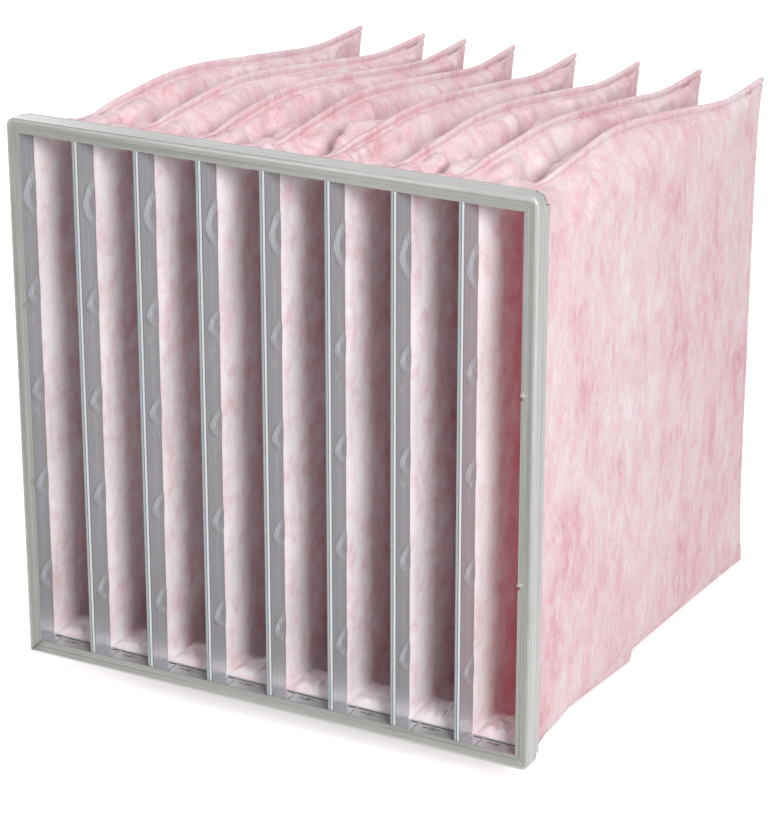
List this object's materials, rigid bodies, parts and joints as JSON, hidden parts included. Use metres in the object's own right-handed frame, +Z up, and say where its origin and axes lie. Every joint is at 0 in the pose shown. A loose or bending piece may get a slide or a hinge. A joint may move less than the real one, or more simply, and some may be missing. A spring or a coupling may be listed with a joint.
{
  "type": "bag air filter",
  "caption": "Square folded-steel header frame with a row of narrow open pockets, each holding a sewn wedge-shaped fibre bag that tapers to a rear seam; air enters at the front.",
  "frame": {"origin": "middle of the header frame's foot: half its width, half its depth, underside at Z 0", "axes": "+X across the pockets to the right seen from the front, +Y along the air flow towards the bags' rear seams, +Z up"},
  "size_m": [0.592, 0.665, 0.6302],
  "materials": {
    "galvanised": "dull galvanised sheet, roll formed",
    "ring_steel": "bright galvanised strip, folded to a channel",
    "filter_media": "soft pink mottled fibre media, sewn"
  },
  "bodies": {
    "root": {"header_frame": "galvanised", "pocket_ring_1": "ring_steel", "pocket_bag_1": "filter_media", "pocket_ring_2": "ring_steel", "pocket_bag_2": "filter_media", "pocket_ring_3": "ring_steel", "pocket_bag_3": "filter_media", "pocket_ring_4": "ring_steel", "pocket_bag_4": "filter_media", "pocket_ring_5": "ring_steel", "pocket_bag_5": "filter_media", "pocket_ring_6": "ring_steel", "pocket_bag_6": "filter_media", "pocket_ring_7": "ring_steel", "pocket_bag_7": "filter_media", "pocket_ring_8": "ring_steel", "pocket_bag_8": "filter_media"}
  },
  "joints": []
}
